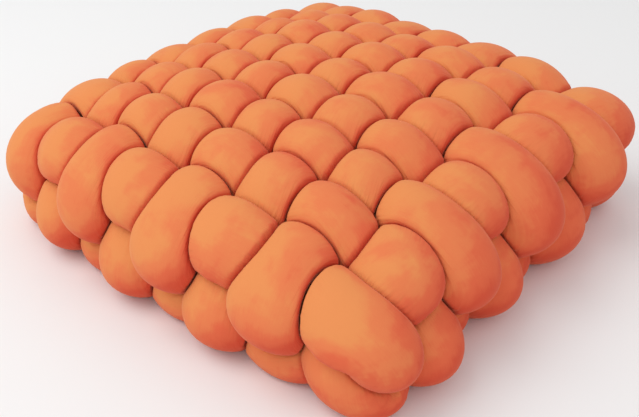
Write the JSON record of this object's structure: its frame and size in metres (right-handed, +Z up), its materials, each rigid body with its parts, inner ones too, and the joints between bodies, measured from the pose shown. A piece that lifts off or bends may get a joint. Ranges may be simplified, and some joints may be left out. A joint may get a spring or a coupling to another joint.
{
  "type": "woven square floor cushion",
  "caption": "Square floor cushion hand woven over and under from fat stuffed velvet tubes, crowned on top, flat where it rests on the floor.",
  "frame": {"origin": "on the floor, under the middle of the cushion", "axes": "+Z up through the cushion's thickness, +X along one set of tubes, +Y along the other set"},
  "size_m": [0.4798, 0.4671, 0.1263],
  "materials": {
    "velvet": "soft short-pile orange velvet over a plump filling"
  },
  "bodies": {
    "root": {"u_1": "velvet", "u_2": "velvet", "u_3": "velvet", "u_4": "velvet", "u_5": "velvet", "u_6": "velvet", "u_7": "velvet", "u_8": "velvet", "v_1": "velvet", "v_2": "velvet", "v_3": "velvet", "v_4": "velvet", "v_5": "velvet", "v_6": "velvet", "v_7": "velvet", "v_8": "velvet"}
  },
  "joints": []
}
